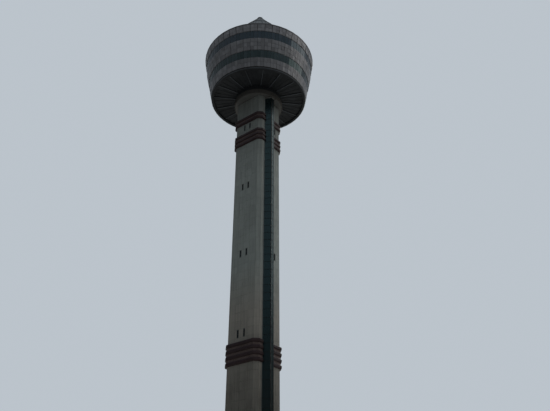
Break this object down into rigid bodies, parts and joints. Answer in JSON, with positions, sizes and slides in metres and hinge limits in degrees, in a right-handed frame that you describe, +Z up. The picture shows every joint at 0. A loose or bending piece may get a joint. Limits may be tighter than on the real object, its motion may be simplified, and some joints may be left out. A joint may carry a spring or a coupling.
{
  "type": "water tower with a windowed observation pod, 1:10 scale model",
  "caption": "Tall slender tower with cut corners, ribbed bands and a glazed lift bay, carrying a round windowed pod with a conical roof.",
  "frame": {"origin": "centre of the shaft at ground level", "axes": "+Z up along the shaft's axis, -Y the front wall with the glazed lift bay, +X to the right of it"},
  "size_m": [2.024, 2.024, 10],
  "materials": {
    "wall_tile": "pale off-white tile on concrete, matte, with fine joints",
    "concrete": "plain grey concrete, rough",
    "band_red": "dark red-brown tile ribs with paler recesses",
    "drum_paint": "pale grey-beige panels, satin",
    "soffit_paint": "dark brown-grey soffit with paler radial ribs",
    "pod_panel": "silver-grey metal panels, satin, in a fine grid",
    "pod_glazing": "dark green-blue tinted glass, polished",
    "lift_glazing": "dark teal tinted glass, polished",
    "dark_frame": "dark grey-green frame paint, satin",
    "roof_metal": "pale grey standing-seam metal, satin",
    "door_steel": "grey painted steel, satin"
  },
  "bodies": {
    "root": {"front_wall_left": "wall_tile", "front_wall_right": "wall_tile", "front_wall_head": "wall_tile", "front_right_corner": "wall_tile", "right_wall": "wall_tile", "back_right_corner": "wall_tile", "back_wall": "wall_tile", "back_left_corner": "wall_tile", "left_wall": "wall_tile", "front_left_corner": "wall_tile", "ground_floor": "concrete", "service_door": "door_steel", "lift_glass_left": "lift_glazing", "lift_glass_front": "lift_glazing", "lift_glass_right": "lift_glazing", "lift_post_left": "dark_frame", "lift_post_right": "dark_frame", "lift_foot": "concrete", "low_band": "band_red", "middle_band": "band_red", "top_band": "band_red", "drum": "drum_paint", "soffit": "soffit_paint", "lower_deck": "concrete", "upper_deck": "concrete", "roof_deck": "concrete", "rim_panels_front_left": "pod_panel", "rim_panels_front_right": "pod_panel", "rim_panels_back_right": "pod_panel", "rim_panels_back_left": "pod_panel", "lower_windows": "pod_glazing", "middle_panels_front_left": "pod_panel", "middle_panels_front_right": "pod_panel", "middle_panels_back_right": "pod_panel", "middle_panels_back_left": "pod_panel", "upper_windows": "pod_glazing", "parapet_panels_front_left": "pod_panel", "parapet_panels_front_right": "pod_panel", "parapet_panels_back_right": "pod_panel", "parapet_panels_back_left": "pod_panel", "roof_cone": "roof_metal", "roof_cap": "roof_metal"}
  },
  "joints": []
}
